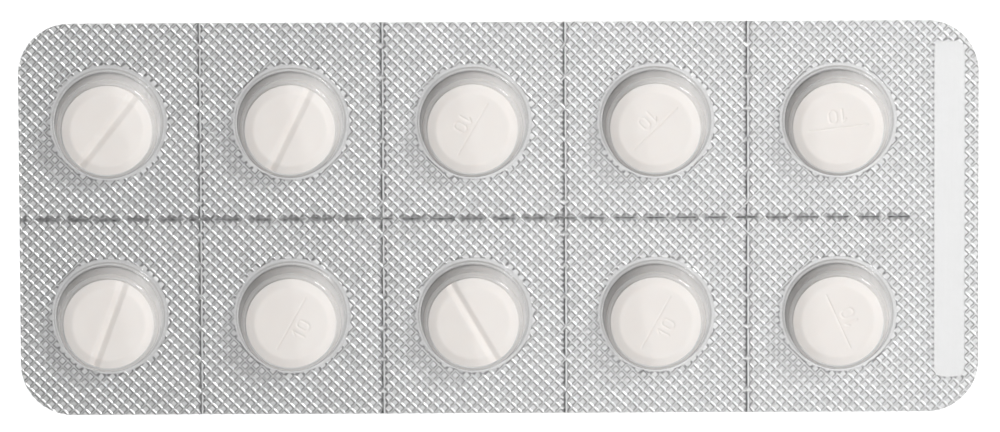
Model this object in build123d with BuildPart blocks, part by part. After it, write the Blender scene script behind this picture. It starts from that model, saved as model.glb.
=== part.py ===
from build123d import *
from math import radians, tan
import os

# A blister pack of ten round scored tablets. A clear film with ten formed pockets is sealed
# face to face on a flat foil, and rows of short cuts through both let single pockets be torn
# off. Lengths are millimetres and angles degrees. The origin is on the foil's underside in
# the middle of the pack, the pockets point to +Z, and the coding strip is at the +X end.

# Sheets
corner_radius = 5.2
film_thickness = 0.25
foil_thickness = 0.03

# Pocket grid
columns = 5
rows = 2
column_pitch = 18.25
row_pitch = 19.75
end_margin = 8.9  # from the plain end of the pack to the middle of the first column
strip_end_margin = 14.1  # from the middle of the last column to the end with the strip
side_margin = 10.125  # from the middle of an outer row to the long edge beside it

# Tablets
tablet_diameter = 9.0
tablet_thickness = 3.0
bevel_width = 0.85
bevel_height = 0.4
score_width = 1.15
score_depth = 0.38
line_length = 5.9  # the thin line on the face without the score
line_width = 0.14
line_depth = 0.1

# Pockets
side_clearance = 0.3  # between the tablet's side and the wall, under the roof
roof_clearance = 0.35
wall_draft = 5.0
roof_bevel = 0.35  # stands for the round where the roof bends into the wall
ring_width = 0.65  # smooth ring round each pocket, which the sealing tool leaves free

# Seal
seal_press = 0.04  # how much the sealing tool thins the film
strip_length = 34.2
strip_width = 2.95
strip_corner = 0.7
strip_margin = 2.9  # from the strip's middle line to its end of the pack
strip_shift = 0.75

# Tear lines
cuts_per_column = 6
cross_cut_pitch = 3.2
tie_length = 0.6
cut_width = 0.15
uncut_end = 6.5  # plain length at the coding strip's end of the long tear line

# How each tablet lies, counted as the pockets are: the face that looks up, and the turn of
# its score or line
tablet_lies = [
    ("score", 52), ("score", 64), ("line", 240), ("line", 224), ("line", 187),
    ("score", 70), ("line", 61), ("score", 120), ("line", 61), ("line", 114),
]
tablet_slide = 0.2  # how far the loose tablets have slid towards -Y

# Values worked out from those above
pack_length = end_margin + column_pitch * (columns - 1) + strip_end_margin
pack_width = row_pitch * (rows - 1) + 2 * side_margin
tablet_radius = tablet_diameter / 2
film_top = foil_thickness + film_thickness
roof_height = foil_thickness + tablet_thickness + roof_clearance
roof_radius = tablet_radius + side_clearance
mouth_radius = roof_radius + (roof_height - foil_thickness) * tan(radians(wall_draft))
ring_radius = mouth_radius + film_thickness + ring_width
first_column = end_margin - pack_length / 2
grid_middle = first_column + column_pitch * (columns - 1) / 2
first_tear_line = first_column + column_pitch / 2
cut_pitch = column_pitch / cuts_per_column


def tear_places():
    """Middles of the cuts: those along the pack, between its rows, and those across it."""
    before = int((first_tear_line + (pack_length + cut_pitch) / 2) // cut_pitch)
    after = int((pack_length / 2 - uncut_end - first_tear_line) // cut_pitch)
    along = [(first_tear_line + cut_pitch * i, 0) for i in range(-before, after + 1)]
    reach = int((pack_width + cross_cut_pitch) / 2 // cross_cut_pitch)
    tear_lines = [first_tear_line + column_pitch * i for i in range(columns - 1)]
    across = [(x, cross_cut_pitch * i) for x in tear_lines for i in range(-reach, reach + 1)]
    return along, across


def pocket_place(number):
    """Middle of a pocket. They count from 1, row by row, from the plain end at the back."""
    row, column = divmod(number - 1, columns)
    return first_column + column_pitch * column, row_pitch * ((rows - 1) / 2 - row)


def lay_tablet(number, face, turn):
    """The tablet in its pocket, with the given face up and its mark turned about +Z."""
    x, y = pocket_place(number)
    up, rest = (1, foil_thickness) if face == "score" else (-1, foil_thickness + tablet_thickness)
    mark = Vector(1, 0, 0).rotate(Axis.Z, turn)
    with BuildPart(Plane((x, y - tablet_slide, rest), x_dir=mark, z_dir=(0, 0, up))) as lying:
        add(tablet.part)
    return lying.part


# The outline that both sheets share, with the cuts of the tear lines
cuts_along, cuts_across = tear_places()
with BuildSketch() as sheet:
    RectangleRounded(pack_length, pack_width, corner_radius)
    with Locations(*cuts_along):
        Rectangle(cut_pitch - tie_length, cut_width, mode=Mode.SUBTRACT)
    with Locations(*cuts_across):
        Rectangle(cut_width, cross_cut_pitch - tie_length, mode=Mode.SUBTRACT)

# The flat foil
with BuildPart() as foil:
    extrude(sheet.sketch, amount=foil_thickness)

# One pocket with its smooth ring, turned from the section of the formed film
with BuildPart() as pocket:
    with BuildSketch(Plane.XZ):
        with BuildLine():
            Polyline(
                (0, roof_height),
                (roof_radius, roof_height),
                (mouth_radius, foil_thickness),
                (ring_radius, foil_thickness),
                (ring_radius, film_top),
                (mouth_radius + film_thickness, film_top),
                (roof_radius + film_thickness, roof_height + film_thickness - roof_bevel),
                (roof_radius + film_thickness - roof_bevel, roof_height + film_thickness),
                (0, roof_height + film_thickness),
                close=True,
            )
        make_face()
    revolve(axis=Axis.Z)

# The film: the pressed seal, then the pockets and the strip, which keep the full thickness
with BuildPart() as film:
    with BuildSketch(Plane.XY.offset(foil_thickness)):
        add(sheet.sketch)
        with Locations((grid_middle, 0)):
            with GridLocations(column_pitch, row_pitch, columns, rows):
                Circle(ring_radius, mode=Mode.SUBTRACT)
    extrude(amount=film_thickness - seal_press)
    with Locations((grid_middle, 0)):
        with GridLocations(column_pitch, row_pitch, columns, rows):
            add(pocket.part)
    with BuildSketch(Plane.XY.offset(foil_thickness)):
        with Locations((pack_length / 2 - strip_margin, strip_shift)):
            RectangleRounded(strip_width, strip_length, strip_corner)
    extrude(amount=film_thickness)

# One tablet: bevelled edges, a V score across its upper face and a thin line on the lower
with BuildPart() as tablet:
    with BuildSketch(Plane.XZ):
        with BuildLine():
            Polyline(
                (0, 0),
                (tablet_radius - bevel_width, 0),
                (tablet_radius, bevel_height),
                (tablet_radius, tablet_thickness - bevel_height),
                (tablet_radius - bevel_width, tablet_thickness),
                (0, tablet_thickness),
                close=True,
            )
        make_face()
    revolve(axis=Axis.Z)
    with BuildSketch(Plane.YZ):
        with BuildLine():
            Polyline(
                (-score_width / 2, tablet_thickness),
                (0, tablet_thickness - score_depth),
                (score_width / 2, tablet_thickness),
                close=True,
            )
        make_face()
    extrude(amount=tablet_radius, both=True, mode=Mode.SUBTRACT)
    with BuildSketch():
        Rectangle(line_length, line_width)
    extrude(amount=line_depth, mode=Mode.SUBTRACT)

# Each piece is written as its own file
film.part.label = "blister_film"
foil.part.label = "lidding_foil"
tablets = [lay_tablet(i, face, turn) for i, (face, turn) in enumerate(tablet_lies, 1)]
for number, lying in enumerate(tablets, 1):
    lying.label = f"tablet_{number}"
os.makedirs("parts", exist_ok=True)
for piece in (film.part, foil.part, *tablets):
    export_step(piece, f"parts/{piece.label}.step")
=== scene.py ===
# %% [markdown]
# # A blister pack of ten scored tablets
#
# The pack is a clear PVC film with ten formed pockets, sealed face to face on a thin
# aluminium foil. A knurled tool seals the two, so the foil is covered with a square lattice of
# small ridges. This lesson dresses the CAD model of the pack: the foil gets its real relief,
# the film gets round bends and a real wall, and each tablet gets its score or its marks.
# The CAD model is loaded first and gives every place and outer size.

# %% The frame
import bpy
import numpy as np
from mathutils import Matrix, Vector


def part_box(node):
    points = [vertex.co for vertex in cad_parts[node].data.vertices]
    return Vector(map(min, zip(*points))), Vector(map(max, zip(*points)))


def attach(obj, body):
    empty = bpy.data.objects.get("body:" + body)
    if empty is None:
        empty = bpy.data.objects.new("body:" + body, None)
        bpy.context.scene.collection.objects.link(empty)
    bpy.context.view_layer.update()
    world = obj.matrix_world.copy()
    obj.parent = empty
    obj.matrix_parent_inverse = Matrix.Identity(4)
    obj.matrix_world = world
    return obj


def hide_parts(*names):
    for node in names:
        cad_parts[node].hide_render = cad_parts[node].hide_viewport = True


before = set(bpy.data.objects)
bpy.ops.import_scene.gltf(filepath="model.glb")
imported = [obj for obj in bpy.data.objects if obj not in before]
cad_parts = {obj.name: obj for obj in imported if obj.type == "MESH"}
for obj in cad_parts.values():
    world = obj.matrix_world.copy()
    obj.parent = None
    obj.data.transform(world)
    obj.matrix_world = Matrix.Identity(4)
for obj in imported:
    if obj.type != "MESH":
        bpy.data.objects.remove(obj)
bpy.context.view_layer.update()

# %% [markdown]
# ## Sizes
#
# Lengths are millimetres until a mesh is made. What the CAD model knows is read from its
# boxes. What its boxes can't say, such as how the tablets lie, is repeated here by name.

# %% Sizes from the frame
MM = 0.001
tablet_count = 10


def box_mm(node):
    """Lowest and highest corner of a CAD node, in millimetres."""
    low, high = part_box(node)
    return np.array(low) / MM, np.array(high) / MM


foil_low, foil_high = box_mm("lidding_foil")
pack_length, pack_width = (foil_high - foil_low)[:2]
foil_thickness = foil_high[2]
roof_top = box_mm("blister_film")[1][2]
tablet_boxes = [box_mm(f"tablet_{number}") for number in range(1, tablet_count + 1)]
tablet_middles = np.array([(low + high)[:2] / 2 for low, high in tablet_boxes])
tablet_diameter = (tablet_boxes[0][1] - tablet_boxes[0][0])[0]
tablet_thickness = (tablet_boxes[0][1] - tablet_boxes[0][0])[2]
print("pack", pack_length.round(2), "by", pack_width.round(2), "tablet", tablet_diameter.round(2))

# %% Sizes repeated from the CAD model
corner_radius = 5.2
film_thickness = 0.25
seal_press = 0.04
tablet_slide = 0.2
side_clearance = 0.3
wall_draft = 5.0
strip_size = np.array([2.95, 34.2])
strip_corner = 0.7
strip_margin = 2.9
strip_shift = 0.75
cut_width = 0.15
tie_length = 0.6
cross_cut_pitch = 3.2
columns = 5
cuts_per_column = 6
uncut_end = 6.5
bevel_width = 0.85
bevel_height = 0.4
score_width = 1.15
score_depth = 0.38
line_length = 5.9
line_width = 0.14
tablet_lies = [
    ("score", 52), ("score", 64), ("line", 240), ("line", 224), ("line", 187),
    ("score", 70), ("line", 61), ("score", 120), ("line", 61), ("line", 114),
]

# %% [markdown]
# Three sizes are finer than the CAD model's. The smooth rings look narrower through the film,
# and lie a little beside the pockets, because the forming and the sealing tool don't quite
# meet. The thin line on a tablet is barely a scratch.

# %% Sizes finer than the CAD model's
ring_width = 0.5
ring_shift = 0.1
line_depth = 0.06

# %% Sizes worked out
film_top = foil_thickness + film_thickness
seal_top = film_top - seal_press
pocket_middles = tablet_middles + [0, tablet_slide]
column_pitch = pocket_middles[1, 0] - pocket_middles[0, 0]
tablet_radius = tablet_diameter / 2
roof_radius = tablet_radius + side_clearance
wall_height = roof_top - film_top
mouth_radius = roof_radius + wall_height * np.tan(np.radians(wall_draft))
ring_radius = mouth_radius + film_thickness + ring_width
strip_middle = np.array([pack_length / 2 - strip_margin, strip_shift])
print("pocket mouth", mouth_radius.round(2), "ring", ring_radius.round(2))

# %% [markdown]
# ## Camera
#
# The pack lies flat and is looked down on from a little behind its upper edge. A long lens
# keeps the edges parallel. The lens follows from the scale of the picture: so many pixels for
# each millimetre at the pack, at the chosen distance.

# %% Camera
picture_width = 1000
pixels_per_mm = 9.989
camera_distance = 1600.0
camera_tilt = np.radians(11.6)
camera_roll = np.radians(0.24)
aim = np.array([0.093, 0.183, 0.0])

camera = bpy.data.objects.new("camera", bpy.data.cameras.new("camera"))
bpy.context.collection.objects.link(camera)
camera_from = np.array([0, np.sin(camera_tilt), np.cos(camera_tilt)]) * camera_distance
camera.location = (aim + camera_from) * MM
camera.rotation_mode = "ZXY"
camera.rotation_euler = (-camera_tilt, 0, -camera_roll)
camera.data.sensor_width = 36.0
camera.data.lens = camera.data.sensor_width * camera_distance * pixels_per_mm / picture_width
camera.data.clip_end = 10
bpy.context.scene.camera = camera
print("lens", round(camera.data.lens, 1), "mm")

# %% [markdown]
# ## Surfaces from arrays
#
# Every new piece is a surface worked out as whole arrays. The foil needs crisp outlines in a
# fine lattice: round corners, round rings, narrow cuts. One tool gives them all. It splits
# the triangles along the line where a signed distance is zero, so that afterwards each
# triangle lies on one side, and the unwanted side can be dropped.

# %% Splitting a mesh along a line
SNAP = 1e-5  # a point nearer to the line than this, in millimetres, counts as on it


def split_along(points, triangles, values):
    """Cuts the triangles that the line values = 0 crosses.

    A side from corner a to corner b meets the line at a + (b - a) * va / (va - vb). A triangle
    with one side crossed becomes two, and one with two sides crossed becomes three. Returns
    points, triangles and values, which are 0 at the new points.
    """
    values = np.where(np.abs(values) < SNAP, 0.0, values)
    following = triangles[:, [1, 2, 0]]
    crossed = values[triangles] * values[following] < 0
    ends = np.sort(np.stack([triangles[crossed], following[crossed]], axis=1), axis=1)
    sides, which = np.unique(ends, axis=0, return_inverse=True)
    va, vb = values[sides].T
    share = (va / (va - vb))[:, None]
    fresh = points[sides[:, 0]] * (1 - share) + points[sides[:, 1]] * share
    middle = np.full(triangles.shape, -1)
    middle[crossed] = len(points) + which.ravel()
    count = crossed.sum(axis=1)

    one = np.flatnonzero(count == 1)
    k = crossed[one].argmax(axis=1)
    a, b, c = (triangles[one, (k + step) % 3] for step in range(3))
    m = middle[one, k]
    halves = [(a, m, c), (m, b, c)]

    two = np.flatnonzero(count == 2)
    k = (~crossed[two]).argmax(axis=1)
    b, c, a = (triangles[two, (k + step) % 3] for step in range(3))
    p, q = middle[two, (k + 2) % 3], middle[two, (k + 1) % 3]
    thirds = [(a, p, q), (p, b, c), (p, c, q)]

    parts = [triangles[count == 0]] + [np.stack(part, axis=1) for part in halves + thirds]
    return (
        np.concatenate([points, fresh]),
        np.concatenate(parts),
        np.concatenate([values, np.zeros(len(fresh))]),
    )


def keep(points, triangles, chosen, *others):
    """The chosen triangles with only the points that they use, and the others' rows for them."""
    used, numbered = np.unique(triangles[chosen], return_inverse=True)
    return (points[used], numbered.reshape(-1, 3), *(other[used] for other in others))


# %% Signed distances
def in_rectangle(points, middle, size, radius):
    """Distance inside a round-cornered rectangle, negative outside it.

    It is the radius less the distance beyond the corner's middle, or, along the straight
    sides, the distance to the nearest side.
    """
    beyond = np.abs(points[:, :2] - middle) - (np.asarray(size) / 2 - radius)
    return radius - np.hypot(*np.maximum(beyond, 0).T) - np.minimum(beyond.max(axis=1), 0)


def from_circles(points, middles, radius):
    """Distance outside the nearest of some circles, negative inside it."""
    away = points[:, None, :2] - middles[None]
    return np.hypot(away[..., 0], away[..., 1]).min(axis=1) - radius


def from_cuts(points, cuts, reach):
    """Distance from the nearest cut, negative within reach of its middle line.

    A cut is (x, y, half x, half y). Reach is one number, or one for each cut.
    """
    nearest = np.full(len(points), np.inf)
    for (x, y, half_x, half_y), within in zip(cuts, np.broadcast_to(reach, len(cuts))):
        beyond = np.maximum(np.abs(points[:, :2] - [x, y]) - [half_x, half_y], 0)
        nearest = np.minimum(nearest, np.hypot(*beyond.T) - within)
    return nearest


# %% Grids and turned shapes
def in_triangles(a, b, c, d):
    """Squares with the corners a, b, c and d as triangles: all of a, b, c, then all of a, c, d."""
    return np.concatenate([np.stack([a, b, c], -1), np.stack([a, c, d], -1)]).reshape(-1, 3)


def flat_grid(xs, ys, height):
    """Points at every x and y, all at one height, with a square between each four."""
    x, y = np.meshgrid(xs, ys, indexing="ij")
    points = np.column_stack([x.ravel(), y.ravel(), np.full(x.size, height)])
    i, j = np.meshgrid(np.arange(len(xs) - 1), np.arange(len(ys) - 1), indexing="ij")
    a = (i * len(ys) + j).ravel()
    return points, in_triangles(a, a + len(ys), a + len(ys) + 1, a + 1)


def turned(profile, middle, steps):
    """A profile of (radius, height) carried round an upright axis.

    The point of a profile row at angle a is (x + r cos a, y + r sin a, z). The last row is the
    pole, which is one point with a fan of triangles round it.
    """
    angle = np.arange(steps) * 2 * np.pi / steps
    rows = profile[:-1]
    x = middle[0] + rows[:, :1] * np.cos(angle)
    y = middle[1] + rows[:, :1] * np.sin(angle)
    z = np.repeat(rows[:, 1:], steps, axis=1)
    points = np.stack([x, y, z], axis=-1).reshape(-1, 3)
    points = np.concatenate([points, [[middle[0], middle[1], profile[-1, 1]]]])
    row, step = np.meshgrid(np.arange(len(rows) - 1), np.arange(steps), indexing="ij")
    after = (step + 1) % steps
    a, b = row * steps + step, row * steps + after
    bands = in_triangles(a, b, b + steps, a + steps)
    last = (len(rows) - 1) * steps + np.arange(steps)
    fan = np.stack([last, np.roll(last, -1), np.full(steps, len(points) - 1)], axis=1)
    return points, np.concatenate([bands, fan])


# %% Joining loops
def zip_loops(outer, outer_angle, inner, inner_angle):
    """Triangles between two loops of points round the same middle.

    Both loops are walked together by angle. Each point that is reached makes one triangle
    with the point before it on its own loop and the last one reached on the other.
    """
    order = np.argsort(outer_angle)
    outer, outer_angle = outer[order], outer_angle[order]
    order = np.argsort(inner_angle)
    inner, inner_angle = inner[order], inner_angle[order]
    reached = np.searchsorted(inner_angle, outer_angle, side="left") - 1
    first = np.stack([np.roll(outer, 1), outer, inner[reached]], axis=1)
    reached = np.searchsorted(outer_angle, inner_angle, side="right") - 1
    second = np.stack([outer[reached], inner, np.roll(inner, 1)], axis=1)
    return np.concatenate([first, second])


def angles_round(points, middle):
    """Angle of each point round a middle, from 0 to a full turn."""
    return np.arctan2(points[:, 1] - middle[1], points[:, 0] - middle[0]) % (2 * np.pi)


def joined(points, loop, profile, middle, steps):
    """The points with a turned profile's added, and the triangles that join it to a loop."""
    fresh, faces = turned(profile, middle, steps)
    inner = np.arange(steps) + len(points)
    seam = zip_loops(
        loop, angles_round(points[loop], middle), inner, angles_round(fresh[:steps], middle)
    )
    return np.concatenate([points, fresh]), np.concatenate([seam, faces + len(points)])


def open_sides(triangles):
    """The sides that only one triangle has, as (from, to) in that triangle's direction."""
    sides = triangles[:, [[0, 1], [1, 2], [2, 0]]].reshape(-1, 2).astype(np.int64)
    span = sides.max() + 1
    return sides[~np.isin(sides[:, 0] * span + sides[:, 1], sides[:, 1] * span + sides[:, 0])]


# %% Rounded profiles
def rounded(corners, radii, steps):
    """A profile with each inner corner replaced by an arc of its radius.

    The arc starts radius * tan(turn / 2) before the corner. Its points lie on a circle
    about a middle on the corner's bisector.
    """
    corners = np.array(corners, float)
    out = [corners[:1]]
    for before, corner, after, radius in zip(corners, corners[1:], corners[2:], radii):
        into = (corner - before) / np.linalg.norm(corner - before)
        away = (after - corner) / np.linalg.norm(after - corner)
        turn = np.arctan2(into[0] * away[1] - into[1] * away[0], into @ away)
        side = np.array([-into[1], into[0]]) * np.sign(turn)
        start = corner - into * radius * np.tan(abs(turn) / 2)
        part = np.linspace(0, turn, steps)[:, None]
        out.append(start + side * radius + radius * (
            into * np.sin(np.abs(part)) - side * np.cos(part)
        ))
    out.append(corners[-1:])
    return np.concatenate(out)


# %% Making the object
def make_piece(name, points, triangles, material, sharp=None, layers=None):
    """A mesh object at the origin from millimetre arrays, with smooth shading.

    Sides that bend more than sharp degrees stay sharp. Layers are numbers kept at the points.
    """
    mesh = bpy.data.meshes.new(name)
    mesh.vertices.add(len(points))
    mesh.vertices.foreach_set("co", (points * MM).astype(np.float32).ravel())
    mesh.loops.add(triangles.size)
    mesh.loops.foreach_set("vertex_index", triangles.astype(np.int32).ravel())
    mesh.polygons.add(len(triangles))
    mesh.polygons.foreach_set("loop_start", np.arange(0, triangles.size, 3, dtype=np.int32))
    mesh.update(calc_edges=True)
    mesh.validate()
    mesh.shade_smooth()
    if sharp is not None:
        mesh.set_sharp_from_angle(angle=np.radians(sharp))
    for layer, numbers in (layers or {}).items():
        kept = mesh.attributes.new(layer, "FLOAT", "POINT")
        kept.data.foreach_set("value", numbers.astype(np.float32))
    mesh.materials.append(material)
    piece = bpy.data.objects.new(name, mesh)
    bpy.context.collection.objects.link(piece)
    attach(piece, "root")
    print(name, len(mesh.polygons), "triangles")
    return piece


# %% [markdown]
# ## Materials
#
# A small function turns hex colours to linear ones, and another adds a node with its
# settings and links. Each material is named for the real one.

# %% Node helpers
def linear(hex_colour, alpha=1.0):
    """An sRGB hex colour as the linear colour that shaders take."""
    parts = np.array([int(hex_colour[i:i + 2], 16) for i in (1, 3, 5)]) / 255
    parts = np.where(parts <= 0.04045, parts / 12.92, ((parts + 0.055) / 1.055) ** 2.4)
    return (*parts.tolist(), alpha)


def node(tree, kind, inputs=None, **settings):
    """Adds a node. An input takes a value or the output of another node."""
    made = tree.nodes.new(kind)
    for name, value in settings.items():
        setattr(made, name, value)
    for name, value in (inputs or {}).items():
        if isinstance(value, bpy.types.NodeSocket):
            tree.links.new(value, made.inputs[name])
        else:
            made.inputs[name].default_value = value
    return made


def new_material(name):
    """An empty node material with its tree and its output."""
    material = bpy.data.materials.new(name)
    material.use_nodes = True
    tree = material.node_tree
    tree.nodes.clear()
    return material, tree, node(tree, "ShaderNodeOutputMaterial")


def per_mm(size):
    """The scale of a noise whose grain is size millimetres wide, for coordinates in metres."""
    return 1 / (size * MM)


# %% [markdown]
# ### Aluminium foil
#
# Lidding foil is rolled aluminium, 0.02 to 0.03 mm thick, with a heat-seal lacquer. It is a
# soft mirror: rolling leaves very fine lines along it, and the sealing tool polishes the
# ridges while the lands between them stay a little duller. A metal shader with a middle
# roughness gives that, with the roughness read from the relief and a faint long grain.
#
# Three numbers are kept at the mesh's points for it. "ridge" is the height in the relief, from
# 0 on the floors to 1 on the ridges. The flanks between them get painted shade, darkest half
# way up, so that they read as thin dark lines. The second number is painted shade by the cuts:
# beside a slot and along a trough's edges the foil is darkened nearly to black, for the shadow
# that the cut holds. "underside" marks the back, where the print of the tool shows through.

# %% Aluminium foil
knurl_cell = 0.785


def aluminium_foil():
    """Rolled foil: ridges polished, lands duller, faint rolling lines, painted shade on flanks and
    cuts.

    The tool's lattice also shows on the underside. There it is a bump: the larger of two
    sine waves that cross at 45 degrees to the pack, one knurl cell long.
    """
    material, tree, output = new_material("aluminium foil")
    where = node(tree, "ShaderNodeTexCoord").outputs["Object"]
    ridge, painted_cut_shade, under = (
        node(tree, "ShaderNodeAttribute", attribute_name=name).outputs["Fac"]
        for name in ("ridge", "painted_cut_shade", "underside")
    )
    stretch = node(tree, "ShaderNodeMapping", {"Vector": where, "Scale": (1.0, 0.06, 1.0)})
    rolling = node(tree, "ShaderNodeTexNoise", {
        "Vector": stretch.outputs["Vector"], "Scale": per_mm(0.35), "Detail": 2.0,
    })
    handling = node(tree, "ShaderNodeTexNoise", {
        "Vector": where, "Scale": per_mm(0.5), "Detail": 3.0,
    })

    # Roughness: the ridges polished, all of it a little uneven from handling
    dull = node(tree, "ShaderNodeMapRange", {
        "Value": ridge, "To Min": 0.3, "To Max": 0.24,
    })
    rough = node(tree, "ShaderNodeMath", {
        0: handling.outputs["Fac"], 1: 0.12, 2: dull.outputs["Result"],
    }, operation="MULTIPLY_ADD")

    # Tone: floors and ridges, painted shade on the flanks between them, then painted shade by the
    # cuts
    tone = node(tree, "ShaderNodeMix", {
        "Factor": ridge, "A": linear("#D1D1D1"), "B": linear("#C9C9C9"),
    }, data_type="RGBA")
    # Painted shade: the flanks darken towards #4A4A4B, most half way up the relief
    beside_half = node(tree, "ShaderNodeMath", {0: ridge, 1: 0.5}, operation="SUBTRACT")
    away = node(tree, "ShaderNodeMath", {0: beside_half.outputs["Value"]}, operation="ABSOLUTE")
    painted_flank_shade = node(tree, "ShaderNodeMapRange", {
        "Value": away.outputs["Value"], "From Min": 0.5, "From Max": 0.15,
        "To Min": 0.0, "To Max": 0.68,
    })
    shaded = node(tree, "ShaderNodeMix", {
        "Factor": painted_flank_shade.outputs["Result"], "A": tone.outputs["Result"], "B": linear("#4A4A4B"),
    }, data_type="RGBA")
    # Painted shade by the cuts, made uneven by the handling noise, darkens the foil towards
    # #2B2B2D
    uneven = node(tree, "ShaderNodeMapRange", {
        "Value": handling.outputs["Fac"], "From Min": 0.3, "From Max": 0.7,
        "To Min": 0.5, "To Max": 1.2,
    })
    cut_shade_share = node(tree, "ShaderNodeMath", {
        0: painted_cut_shade, 1: uneven.outputs["Result"],
    }, operation="MULTIPLY", use_clamp=True)
    cut_shaded = node(tree, "ShaderNodeMix", {
        "Factor": cut_shade_share.outputs["Value"], "A": shaded.outputs["Result"], "B": linear("#2B2B2D"),
    }, data_type="RGBA")

    # Bump: the tool's print on the underside, then the rolling lines over everything. A wave
    # texture repeats every pi / 10 of its coordinate at a scale of 1.
    along = node(tree, "ShaderNodeMapping", {
        "Vector": where, "Rotation": (0, 0, np.pi / 4), "Scale": (1 / MM,) * 3,
    })
    bands = [
        node(tree, "ShaderNodeTexWave", {
            "Vector": along.outputs["Vector"], "Scale": np.pi / 10 / knurl_cell,
        }, bands_direction=axis).outputs["Fac"]
        for axis in "XY"
    ]
    lattice = node(tree, "ShaderNodeMath", {0: bands[0], 1: bands[1]}, operation="MAXIMUM")
    embossed = node(tree, "ShaderNodeBump", {
        "Height": lattice.outputs["Value"], "Strength": under, "Distance": 0.00004,
    })
    grain = node(tree, "ShaderNodeMath", {
        0: rolling.outputs["Fac"], 1: handling.outputs["Fac"],
    }, operation="ADD")
    bump = node(tree, "ShaderNodeBump", {
        "Height": grain.outputs["Value"], "Strength": 0.25, "Distance": 0.00002,
        "Normal": embossed.outputs["Normal"],
    })
    metal = node(tree, "ShaderNodeBsdfPrincipled", {
        "Base Color": cut_shaded.outputs["Result"], "Metallic": 1.0,
        "Roughness": rough.outputs["Value"], "Normal": bump.outputs["Normal"],
    })
    tree.links.new(metal.outputs["BSDF"], output.inputs["Surface"])
    return material


foil_finish = aluminium_foil()

# %% [markdown]
# ### Clear PVC film
#
# The film is hard PVC, 0.25 mm thick, drawn into pockets with heat. It is clear, glossy and
# bends light at its rims, which is where the dark and bright arcs round each pocket come
# from. So the camera sees a glass with PVC's index. A weak noise, 2.5 mm wide, bumps it as
# the drawing does. Where the film is stretched it turns a little milky, which a matt share
# gives, read from the number "stretched" at the mesh's points. Lamps reach what lies under it
# straight through a clear shader, because bent shadow rays would leave the tablets dark.

# %% Clear PVC film
def pvc_film():
    """Clear formed film: bends what is seen through it, and lets the lamps straight through.

    The way is straight for a ray that is diffuse, glossy or a shadow's.
    """
    material, tree, output = new_material("clear PVC film")
    where = node(tree, "ShaderNodeTexCoord").outputs["Object"]
    drawn = node(tree, "ShaderNodeTexNoise", {
        "Vector": where, "Scale": per_mm(2.5), "Detail": 1.0,
    })
    bump = node(tree, "ShaderNodeBump", {
        "Height": drawn.outputs["Fac"], "Strength": 0.25, "Distance": 0.0001,
    })
    glass = node(tree, "ShaderNodeBsdfGlass", {
        "Color": linear("#FDFDFD"), "Roughness": 0.1, "IOR": 1.53,
        "Normal": bump.outputs["Normal"],
    })
    haze = node(tree, "ShaderNodeBsdfDiffuse", {"Color": linear("#F4F4F4")})
    stretched = node(tree, "ShaderNodeAttribute", attribute_name="stretched").outputs["Fac"]
    milky = node(tree, "ShaderNodeMixShader", {
        "Fac": stretched, 1: glass.outputs["BSDF"], 2: haze.outputs["BSDF"],
    })
    clear = node(tree, "ShaderNodeBsdfTransparent", {"Color": linear("#F9F9F9")})
    path = node(tree, "ShaderNodeLightPath")
    scattered = node(tree, "ShaderNodeMath", {
        0: path.outputs["Is Diffuse Ray"], 1: path.outputs["Is Glossy Ray"],
    }, operation="MAXIMUM")
    straight = node(tree, "ShaderNodeMath", {
        0: scattered.outputs["Value"], 1: path.outputs["Is Shadow Ray"],
    }, operation="MAXIMUM")
    mixed = node(tree, "ShaderNodeMixShader", {
        "Fac": straight.outputs["Value"], 1: milky.outputs["Shader"], 2: clear.outputs["BSDF"],
    })
    tree.links.new(mixed.outputs["Shader"], output.inputs["Surface"])
    return material


film_finish = pvc_film()

# %% [markdown]
# ### Pressed powder
#
# A tablet is powder pressed between steel punches. It is a warm white, matt with a slight
# sheen on the pressed faces, and close up it shows grains about 0.1 mm wide. Two noises give
# the grain and a faint mottling, and a little scattering softens its edges.

# %% Pressed powder
def pressed_powder():
    """Warm white pressed powder: fine grain, faint mottling, a soft low sheen."""
    material, tree, output = new_material("pressed powder")
    where = node(tree, "ShaderNodeTexCoord").outputs["Object"]
    grain = node(tree, "ShaderNodeTexNoise", {
        "Vector": where, "Scale": per_mm(0.12), "Detail": 4.0, "Roughness": 0.6,
    })
    mottle = node(tree, "ShaderNodeTexNoise", {
        "Vector": where, "Scale": per_mm(1.2), "Detail": 2.0,
    })
    tone = node(tree, "ShaderNodeMix", {
        "Factor": mottle.outputs["Fac"], "A": linear("#EFE8E3"), "B": linear("#F4EFEA"),
    }, data_type="RGBA")
    bump = node(tree, "ShaderNodeBump", {
        "Height": grain.outputs["Fac"], "Strength": 0.25, "Distance": 0.00003,
    })
    powder = node(tree, "ShaderNodeBsdfPrincipled", {
        "Base Color": tone.outputs["Result"], "Roughness": 0.62, "Normal": bump.outputs["Normal"],
        "Subsurface Weight": 0.35, "Subsurface Radius": (1.0, 0.92, 0.85),
        "Subsurface Scale": 0.0005,
    })
    tree.links.new(powder.outputs["BSDF"], output.inputs["Surface"])
    return material


powder_finish = pressed_powder()

# %% [markdown]
# ## The foil
#
# The sealing tool leaves pits with flat floors, 0.5 mm wide, between flat-topped ridges that
# cross at 45 degrees to the pack. The relief could be a bump, but at this scale its slopes
# are what glitters, so it is real: one cell with its pit is repeated over the sheet. Slopes
# of about 32 degrees mirror a high lamp up to someone who looks down on the pack.

# %% The knurl
ridge_flat = 0.13
ridge_slope = 0.092
ridge_height = 0.0565
floor_unevenness = 0.01


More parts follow.
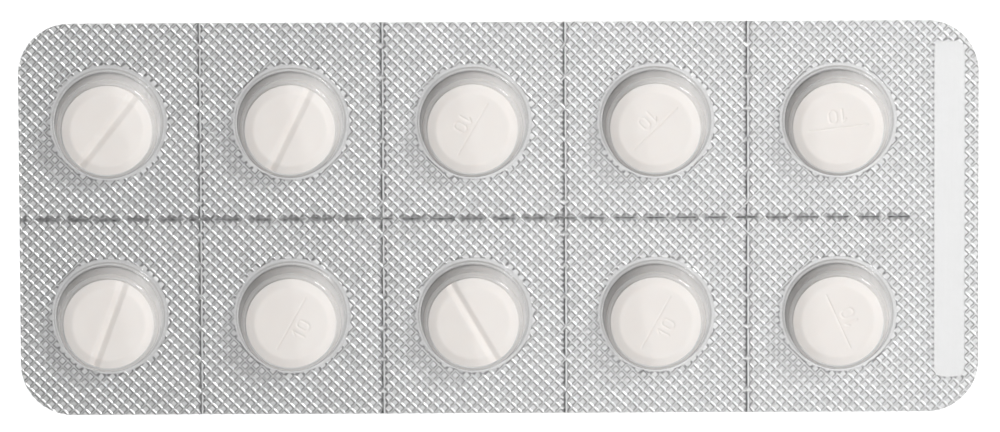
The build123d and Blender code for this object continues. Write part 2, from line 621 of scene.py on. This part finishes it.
def knurl_sheet():
    """The knurled sheet: square cells turned by 45 degrees, each with a pit in its middle.

    A cell's own axes u and v give x = (u - v) / sqrt 2 and y = (u + v) / sqrt 2. Its eight
    points are the corners of the pit's square floor, then those of its rim, both from
    (+u, -v) round to (-u, -v). Slopes join the two, flat ridges join the rims of neighbours,
    and a square fills each crossing. Each floor is tipped a little by chance, from a fixed
    seed, and sinks by a quarter of the foil's thickness at most.
    """
    cells = int((pack_length + pack_width) / np.sqrt(8) // knurl_cell) + 2
    count = 2 * cells
    corner = np.array([(1, -1), (1, 1), (-1, 1), (-1, -1)]) / 2
    rim = corner * (knurl_cell - ridge_flat)
    floor = corner * (knurl_cell - ridge_flat - 2 * ridge_slope)
    i, j = (part.ravel() for part in np.meshgrid(*[np.arange(count)] * 2, indexing="ij"))
    middles = (np.column_stack([i, j]) - cells + 0.5) * knurl_cell
    u, v = (middles[:, None] + np.concatenate([floor, rim])).reshape(-1, 2).T
    tip = np.random.default_rng(7).normal(0, floor_unevenness, (len(i), 1, 2))
    low = np.maximum((tip * floor).sum(axis=2), -foil_thickness / 4)
    height = np.column_stack([low, np.full((len(i), 4), ridge_height)]).ravel()
    points = np.column_stack([(u - v) / np.sqrt(2), (u + v) / np.sqrt(2), foil_thickness + height])

    whole = (i < count - 1) & (j < count - 1)
    here = (i * count + j)[whole] * 8
    east, north = here + count * 8, here + 8
    f, r = [here + k for k in range(4)], [here + 4 + k for k in range(4)]
    squares = [(f[0], f[1], f[2], f[3])]
    squares += [(f[k], r[k], r[(k + 1) % 4], f[(k + 1) % 4]) for k in range(4)]
    squares.append((r[0], east + 7, east + 6, r[1]))
    squares.append((r[2], r[1], north + 4, north + 7))
    squares.append((r[1], east + 6, east + 8 + 7, north + 4))
    triangles = in_triangles(*(np.concatenate(side) for side in zip(*squares)))
    far = np.abs(points[:, :2]) > np.array([pack_length, pack_width]) / 2 + knurl_cell
    return keep(points, triangles, ~far.any(axis=1)[triangles].any(axis=1))


# %% [markdown]
# ### Tear cuts
#
# Blades cut both sheets through in short slots, with ties left between them. In the foil a
# slot is a hairline in the shallow trough that the blade's shoulders press. The long line's
# troughs lie over their slots. They narrow towards the strip, at most to half of their width,
# because that blade pressed less there. On the lines across, the trough lies to the right of
# the slot.

# %% The tear cuts
slot_width = 0.005
trough_width = 0.34
narrow_trough = 0.22
edge_width = 0.05
narrows_from, narrows_over, narrowest = 15, 25, 0.5


def tear_cuts():
    """Middles and half lengths of the cuts: those along the pack, then those across it."""
    first_line = pocket_middles[0, 0] + column_pitch / 2
    pitch = column_pitch / cuts_per_column
    before = int((first_line + (pack_length + pitch) / 2) // pitch)
    after = int((pack_length / 2 - uncut_end - first_line) // pitch)
    half = (pitch - tie_length - trough_width) / 2
    along = [(first_line + pitch * i, 0, half, 0) for i in range(-before, after + 1)]
    reach = int((pack_width + cross_cut_pitch) / 2 // cross_cut_pitch)
    across = [
        (first_line + column_pitch * line, cross_cut_pitch * i, 0,
         (cross_cut_pitch - tie_length) / 2)
        for line in range(columns - 1) for i in range(-reach, reach + 1)
    ]
    return np.array(along + across)


cuts = tear_cuts()
runs_across = cuts[:, 2] == 0
troughs = cuts + np.where(runs_across, narrow_trough / 2, 0)[:, None] * [1, 0, 0, 0]
fainter = np.clip(1 - (cuts[:, 0] - narrows_from) / narrows_over, narrowest, 1)
trough_reach = np.where(runs_across, narrow_trough, trough_width * fainter) / 2
tear_lines = np.unique(cuts[runs_across, 0])
print(len(cuts), "cuts on", len(tear_lines), "lines across the pack")


# %% Cutting a sheet
def cut_out(points, triangles, values):
    """Splits a sheet along values = 0 and keeps the side where values are positive."""
    points, triangles, values = split_along(points, triangles, values)
    return keep(points, triangles, values[triangles].sum(axis=1) > 0, values)


def with_tear_cuts(points, triangles, trough_height, slot, lip, lip_height):
    """Cuts the slots of the tear lines, each in the shallow trough that its blade presses.

    The sheet is first split along the middle of every slot and trough, so that points lie in
    them. A trough is flat at trough_height, and within lip of a slot, which is slot wide, the
    sheet falls to lip_height.
    """
    for x in [*tear_lines, *(tear_lines + narrow_trough / 2)]:
        points, triangles, _ = split_along(points, triangles, points[:, 0] - x)
    points, triangles, _ = split_along(points, triangles, points[:, 1])
    edge = from_cuts(points, troughs, trough_reach)
    points, triangles, values = split_along(points, triangles, edge)
    points[values <= 0, 2] = trough_height
    edge = from_cuts(points, troughs, trough_reach + edge_width)
    points, triangles, _ = split_along(points, triangles, edge)
    edge = from_cuts(points, troughs[~runs_across], trough_reach[~runs_across] - edge_width)
    points, triangles, _ = split_along(points, triangles, edge)
    edge = from_cuts(points, cuts, slot / 2 + lip)
    points, triangles, _ = split_along(points, triangles, edge)
    edge = from_cuts(points, cuts, slot / 2)
    points, triangles, values = cut_out(points, triangles, edge)
    points[values == 0, 2] = lip_height
    return points, triangles


# %% Closing holes and edges
pocket_steps = 72


def with_floors(points, triangles, values, profile):
    """Closes each round hole of a sheet by a turned profile, joined point to point.

    Values are 0 at the points on the holes' rims.
    """
    rim = np.flatnonzero(values == 0)
    nearest = np.hypot(*(points[rim, None, :2] - pocket_middles[None]).transpose(2, 0, 1))
    nearest = nearest.argmin(axis=1)
    for number, middle in enumerate(pocket_middles):
        loop = rim[nearest == number]
        points, added = joined(points, loop, profile, middle, pocket_steps)
        triangles = np.concatenate([triangles, added])
    return points, triangles


def with_wall(points, triangles, level):
    """Adds a wall from every open edge down to a level."""
    sides = open_sides(triangles)
    used, numbered = np.unique(sides, return_inverse=True)
    numbered = numbered.reshape(-1, 2) + len(points)
    below = points[used].copy()
    below[:, 2] = level
    (a, b), (low_a, low_b) = sides.T, numbered.T
    wall = in_triangles(a, low_a, low_b, b)
    return np.concatenate([points, below]), np.concatenate([triangles, wall])


def plain_sheet(step, height):
    """A flat sheet of the pack's outline in squares of about step millimetres."""
    counts = np.ceil(np.array([pack_length, pack_width]) / step).astype(int) + 1
    xs = np.linspace(-pack_length / 2, pack_length / 2, counts[0])
    ys = np.linspace(-pack_width / 2, pack_width / 2, counts[1])
    points, triangles = flat_grid(xs, ys, height)
    outline = in_rectangle(points, (0, 0), (pack_length, pack_width), corner_radius)
    return cut_out(points, triangles, outline)[:2]


# %% The foil's two sides
floor_level = foil_thickness
ring_level = foil_thickness + ridge_height / 2
trough_level = foil_thickness + 0.02
lip_level = 0.002
lip_width = 0.05
seam_width = 0.05
floor_slope = 0.1
ring_middles = pocket_middles + [ring_shift, 0]


def foil_face():
    """The foil's upper side: knurl, smooth rings, pocket floors, strip and tear cuts."""
    points, triangles = knurl_sheet()
    outline = in_rectangle(points, (0, 0), (pack_length, pack_width), corner_radius)
    points, triangles, _ = cut_out(points, triangles, outline)
    points, triangles, values = cut_out(
        points, triangles, from_circles(points, ring_middles, ring_radius)
    )
    points[values == 0, 2] = ring_level
    profile = np.array([
        (ring_radius - ring_shift - seam_width, ring_level),
        (mouth_radius + floor_slope, ring_level), (mouth_radius - floor_slope, floor_level),
        (tablet_radius / 2, floor_level), (0, floor_level),
    ])
    points, triangles = with_floors(points, triangles, values, profile)
    strip = in_rectangle(points, strip_middle, strip_size, strip_corner)
    points, triangles, values = split_along(points, triangles, strip)
    points[values >= 0, 2] = ring_level
    return with_tear_cuts(points, triangles, trough_level, slot_width, lip_width, lip_level)


def foil_back():
    """The foil's underside: a flat sheet with the same cuts, turned to face down."""
    points, triangles = plain_sheet(1.5, 0.0)
    points, triangles = with_tear_cuts(points, triangles, 0.0, slot_width, lip_width, 0.0)
    return points, triangles[:, ::-1]


# %% What the foil's finish reads
def relief_of(points):
    """Height in the knurl, from 0 on its floors to 1 on its ridges, and 0 where it is plain.

    Plain are the smooth rings and all inside them, the troughs and the strip.
    """
    relief = np.clip((points[:, 2] - foil_thickness) / ridge_height, 0, 1)
    plain = [
        -from_circles(points, ring_middles, ring_radius),
        -from_cuts(points, troughs, trough_reach),
        in_rectangle(points, strip_middle, strip_size, strip_corner),
    ]
    relief[np.max(plain, axis=0) > -SNAP] = 0
    return relief


def cut_shade_of(points):
    """How much painted shade the foil gets by its cuts, from 0 to 1, for the shadow they hold.

    By a slot it is full, and falls to nothing within a tenth of a millimetre. By a trough's
    edge it rises to the edge from inside it, and ends edge_width outside it. The long line's
    edges are shaded most, and less so towards the strip, where its slots take over.
    """
    # How strong the painted shade is at the long line's edges; it weakens towards the strip
    pressed = np.interp(points[:, 0], [0, 30], [1.0, 0.4])
    on_long_line = np.abs(points[:, 1]) < trough_width / 2
    full = np.where(on_long_line, 1.15 - 0.35 * pressed, 1)
    start = np.where(on_long_line, 1.9, 1.6)
    shade_by_cuts = start - from_cuts(points, cuts, slot_width / 2) / edge_width
    shade_by_cuts = np.clip(shade_by_cuts, 0, full)
    for chosen, inside, at_edge in [(~runs_across, 0.5, pressed), (runs_across, 0.1, 0.2)]:
        beside_edge = from_cuts(points, troughs[chosen], trough_reach[chosen])
        shade_by_cuts = np.maximum(shade_by_cuts, at_edge * np.interp(
            beside_edge, [-edge_width, 0, edge_width - SNAP], [inside, 1.0, 0],
        ))
    return shade_by_cuts


# %% The foil piece
points, triangles = with_wall(*foil_face(), 0.0)
back_points, back_triangles = foil_back()
underside = np.repeat([0.0, 1.0], [len(points), len(back_points)])
triangles = np.concatenate([triangles, back_triangles + len(points)])
points = np.concatenate([points, back_points])
foil = make_piece("foil_sheet", points, triangles, foil_finish, sharp=5, layers={
    "ridge": relief_of(points), "painted_cut_shade": cut_shade_of(points), "underside": underside,
})
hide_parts("lidding_foil")

# %% [markdown]
# ## The film
#
# The film is a closed shell. Its upper side is the flat sheet with a smooth ring round each
# pocket, then a small stepped rim, the drafted wall, the round shoulder and the flat roof.
# The rim's two bends are the double line that circles each pocket. The lower side follows
# at the wall's thickness, which drawing has brought to about half of the sheet's. Both sides
# are made from the same flat sheet and the same turning function, so that they join along
# the outline and the cuts.

# %% The film's sizes
film_gap = 0.005  # keeps the film's underside off the ridges
film_bottom = foil_thickness + ridge_height + film_gap
press_slope = 0.06
film_trough_depth = 0.02
film_lip_depth = 0.05
film_lip_width = 0.02
rim_width = 0.24
rim_height = 0.34
rim_fall = 0.06
rim_lean = 0.1
inner_lean = 0.08
rim_overlap = 0.03
rim_rounding = 0.12
bend_steps = 6
shoulder_radius = 0.55
wall_thickness = 0.13
roof_thickness = 0.18
wall_haze = 0.3


# %% The film piece
def film_side(height, trough, lip, ring_height, profile):
    """One side of the film: the flat sheet, the rings, the strip, the cuts and the pockets."""
    points, triangles = plain_sheet(0.8, height)
    ring = from_circles(points, pocket_middles, ring_radius + press_slope)
    points, triangles, _ = split_along(points, triangles, ring)
    points, triangles, values = cut_out(
        points, triangles, from_circles(points, pocket_middles, ring_radius)
    )
    points[values == 0, 2] = ring_height
    points, triangles = with_floors(points, triangles, values, profile)
    strip = in_rectangle(points, strip_middle, strip_size, strip_corner)
    points, triangles, _ = split_along(points, triangles, strip + press_slope)
    strip = in_rectangle(points, strip_middle, strip_size, strip_corner)
    points, triangles, values = split_along(points, triangles, strip)
    points[values >= 0, 2] = ring_height
    return with_tear_cuts(points, triangles, trough, cut_width, film_lip_width, lip)


def film_shell():
    """Both sides of the film, joined by a wall along the outline and round each cut.

    Each pocket's profile runs in from its ring: up the rim, in over its sloping top, up the
    wall to the shoulder, and in over the roof to the middle.
    """
    foot, shoulder = mouth_radius + film_thickness, roof_radius + film_thickness
    rim_top = film_top + rim_height
    outer = rounded(
        [(ring_radius - seam_width, film_top), (foot + rim_width, film_top),
         (foot + rim_width - rim_lean, rim_top - rim_fall), (foot - rim_overlap, rim_top),
         (shoulder, roof_top), (0, roof_top)],
        [rim_rounding] * 3 + [shoulder_radius], bend_steps,
    )
    foot, shoulder = foot - wall_thickness, shoulder - wall_thickness
    rim_top, inner_roof = rim_top - wall_thickness, roof_top - roof_thickness
    inner = rounded(
        [(ring_radius - seam_width, film_bottom), (foot + rim_width, film_bottom),
         (foot + rim_width - inner_lean, rim_top - rim_fall), (foot - rim_overlap, rim_top),
         (shoulder, inner_roof), (0, inner_roof)],
        [rim_rounding] * 3 + [shoulder_radius - wall_thickness], bend_steps,
    )
    trough, lip = seal_top - film_trough_depth, seal_top - film_lip_depth
    upper, faces = film_side(seal_top, trough, lip, film_top, outer)
    lower, under = film_side(film_bottom, film_bottom, film_bottom, film_bottom, inner)
    sides = open_sides(faces)
    a, b = sides.T
    wall = in_triangles(a, a + len(upper), b + len(upper), b)
    faces = np.concatenate([faces, under[:, ::-1] + len(upper), wall])
    return np.concatenate([upper, lower]), faces


points, triangles = film_shell()

# Milky on the wall, most of all at its foot, and clear on the roof and beyond the rim
outward = from_circles(points, pocket_middles, mouth_radius)
stretched = wall_haze * np.interp(
    outward, [-0.6, -0.4, -0.15, 0, 0.35, 0.6], [0, 0.85, 0.85, 1, 0.8, 0]
)
film = make_piece(
    "formed_film", points, triangles, film_finish, sharp=30, layers={"stretched": stretched}
)
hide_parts("blister_film")

# %% [markdown]
# ## The tablets
#
# Each tablet is a pressed disc with a bevelled rim. One face has a V score to break it along,
# the other a thin line with a plain number beside it. The upper face is a height over a
# square grid cut to a circle, so that marks can run in any direction, and the rim and the
# underside are turned.

# %% Marks on a tablet
bevel_softness = 0.08
score_softness = 0.07
score_rounding = 0.1
number_height = 1.25
number_offset = 1.15
number_depth = 0.07
stroke_width = 0.2
stroke_end, line_end = 1.4, 1.5  # where a mark's depth ends, in half widths of it
one_at = -0.55
flag_reach, flag_drop = 0.27, 0.3
nought_at, nought_radius = 0.42, 0.38


def from_segment(x, y, start, end):
    """Distance of each point from the straight line between two points."""
    start, end = np.array(start), np.array(end)
    run = end - start
    share = np.clip(((x - start[0]) * run[0] + (y - start[1]) * run[1]) / (run @ run), 0, 1)
    return np.hypot(x - start[0] - share * run[0], y - start[1] - share * run[1])


def soft_step(value):
    """0 below 0, 1 above 1, and a smooth S between them."""
    value = np.clip(value, 0, 1)
    return value * value * (3 - 2 * value)


def number_ten(x, y):
    """Depth from 0 to 1 of the number 10, its middle at the origin, reading along +x.

    The 1 is an upright stroke with a short flag. The 0 is the line at nought_radius round a
    short upright segment.
    """
    half = number_height / 2
    one = from_segment(x, y, (one_at, -half), (one_at, half))
    flag = from_segment(x, y, (one_at, half), (one_at - flag_reach, half - flag_drop))
    core = half - nought_radius
    nought = np.abs(from_segment(x, y, (nought_at, -core), (nought_at, core)) - nought_radius)
    nearest = np.minimum(np.minimum(one, flag), nought)
    return soft_step(stroke_end - nearest / (stroke_width / 2))


def soft_corner(value, softness):
    """0 below 0 and the value itself above it, with the corner between them rounded."""
    return softness * np.logaddexp(0, value / softness)


def face_height(x, y, face):
    """Height of the upper face: the bevel, less the score, or less the line and the number.

    The bevel falls with the distance beyond its start. The score's depth falls away from its
    middle line to half its width, and hypot rounds its bottom.
    """
    slope = soft_corner(np.hypot(x, y) - (tablet_radius - bevel_width), bevel_softness)
    height = tablet_thickness - bevel_height / bevel_width * slope
    if face == "score":
        beside = np.hypot(y / (score_width / 2), score_rounding)
        return height - score_depth * soft_corner(1 - beside, score_softness)
    line = from_segment(x, y, (-line_length / 2, 0), (line_length / 2, 0))
    height = height - line_depth * soft_step(line_end - line / (line_width / 2))
    return height - number_depth * number_ten(x, y + number_offset)


# %% The tablet pieces
grid_step = 0.075
tablet_steps = 96
rim_seam = 0.15


def tablet_shape(middle, face, turn):
    """One tablet in place: the upper face cut to a circle, then its turned side and underside."""
    count = int(np.ceil(tablet_diameter / grid_step)) + 1
    ticks = np.linspace(-tablet_radius, tablet_radius, count)
    points, triangles = flat_grid(ticks, ticks, 0.0)
    within = tablet_radius - np.hypot(points[:, 0], points[:, 1])
    points, triangles, values = cut_out(points, triangles, within)
    points[:, 2] = face_height(points[:, 0], points[:, 1], face)
    profile = np.array([
        (tablet_radius, tablet_thickness - bevel_height - rim_seam),
        (tablet_radius, bevel_height), (tablet_radius - bevel_width, 0), (0, 0),
    ])
    rim = np.flatnonzero(values == 0)
    points, added = joined(points, rim, profile, (0, 0), tablet_steps)
    triangles = np.concatenate([triangles, added[:, ::-1]])
    angle = np.radians(turn)
    x, y, z = points.T
    return np.column_stack([
        middle[0] + x * np.cos(angle) - y * np.sin(angle),
        middle[1] + x * np.sin(angle) + y * np.cos(angle),
        z + foil_thickness,
    ]), triangles


for number, (middle, (face, turn)) in enumerate(zip(tablet_middles, tablet_lies), 1):
    points, triangles = tablet_shape(middle, face, turn)
    tablet = make_piece(f"pressed_tablet_{number}", points, triangles, powder_finish, sharp=40)
    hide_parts(f"tablet_{number}")

# %% [markdown]
# ## Studio
#
# The pack lies on a white table in a grey room. The table is white for the eye and in every
# reflection, and keeps the pack's soft shadow.

# %% The table
table_half = 1.5
table_level = -0.00002
table_glow = 0.42


def white_table():
    """Matt white table that looks plain white, also in glass and metal, and keeps shadows."""
    material, tree, output = new_material("white table")
    matt = node(tree, "ShaderNodeBsdfDiffuse", {"Color": linear("#EFEFEF")})
    glow = node(tree, "ShaderNodeEmission", {"Color": (1, 1, 1, 1), "Strength": table_glow})
    both = node(tree, "ShaderNodeAddShader", {0: matt.outputs["BSDF"], 1: glow.outputs[0]})
    path = node(tree, "ShaderNodeLightPath")
    mirrored = node(tree, "ShaderNodeMath", {
        0: path.outputs["Is Glossy Ray"], 1: path.outputs["Is Transmission Ray"],
    }, operation="MAXIMUM")
    seen = node(tree, "ShaderNodeMath", {
        0: path.outputs["Is Camera Ray"], 1: mirrored.outputs["Value"],
    }, operation="MAXIMUM")
    mixed = node(tree, "ShaderNodeMixShader", {
        "Fac": seen.outputs["Value"], 1: matt.outputs["BSDF"], 2: both.outputs["Shader"],
    })
    tree.links.new(mixed.outputs["Shader"], output.inputs["Surface"])
    return material


table_mesh = bpy.data.meshes.new("table")
table_mesh.from_pydata(
    [(-table_half, -table_half, table_level), (table_half, -table_half, table_level),
     (table_half, table_half, table_level), (-table_half, table_half, table_level)],
    [], [(0, 1, 2, 3)],
)
table_mesh.materials.append(white_table())
table = bpy.data.objects.new("table", table_mesh)
bpy.context.collection.objects.link(table)


# %% [markdown]
# ### Light
#
# The key lamp is small and high at the upper right. The knurl's slopes that face it mirror it
# as bright dashes. The top lamp hangs close above the right half, and the flat foil mirrors
# its soft left edge, so the pack is brighter to the right. The ceiling lifts all of it evenly.
# The fill lamp lights the pockets' left walls, from a side where the scores keep their shade.
# The room is brighter in front, which lightens the pockets' front shoulders.

# %% Lamps and room
room_in_front, room_behind = 0.45, 0.1


def soft_lamp(name, azimuth, elevation, distance, size, power):
    """A square lamp in metres and watts that looks at the pack from azimuth and elevation."""
    turn, rise = np.radians(azimuth), np.radians(elevation)
    lamp = bpy.data.lights.new(name, "AREA")
    lamp.size = size
    lamp.energy = power
    placed = bpy.data.objects.new(name, lamp)
    placed.location = distance * np.array([
        np.cos(rise) * np.cos(turn), np.cos(rise) * np.sin(turn), np.sin(rise)
    ])
    placed.rotation_euler = (np.pi / 2 - rise, 0, turn + np.pi / 2)
    bpy.context.collection.objects.link(placed)


soft_lamp("key_lamp", 42, 42, 1.1, 0.26, 5.2)
soft_lamp("top_lamp", 10, 65.0, 0.67, 0.72, 2.6)
soft_lamp("ceiling", 0, 90, 1.0, 1.5, 2.3)
soft_lamp("fill_lamp", 190, 47, 1.3, 0.6, 2.2)

world = bpy.data.worlds.new("room")
bpy.context.scene.world = world
world.use_nodes = True
world.node_tree.nodes.clear()
direction = node(world.node_tree, "ShaderNodeTexCoord").outputs["Generated"]
depth = node(world.node_tree, "ShaderNodeSeparateXYZ", {"Vector": direction}).outputs["Y"]
level = node(world.node_tree, "ShaderNodeMapRange", {
    "Value": depth, "From Min": -1.0, "From Max": 0.0,
    "To Min": room_in_front, "To Max": room_behind,
}).outputs["Result"]
room = node(world.node_tree, "ShaderNodeBackground", {"Color": (1, 1, 1, 1), "Strength": level})
node(world.node_tree, "ShaderNodeOutputWorld", {"Surface": room.outputs[0]})
bpy.context.scene.view_settings.view_transform = "Standard"
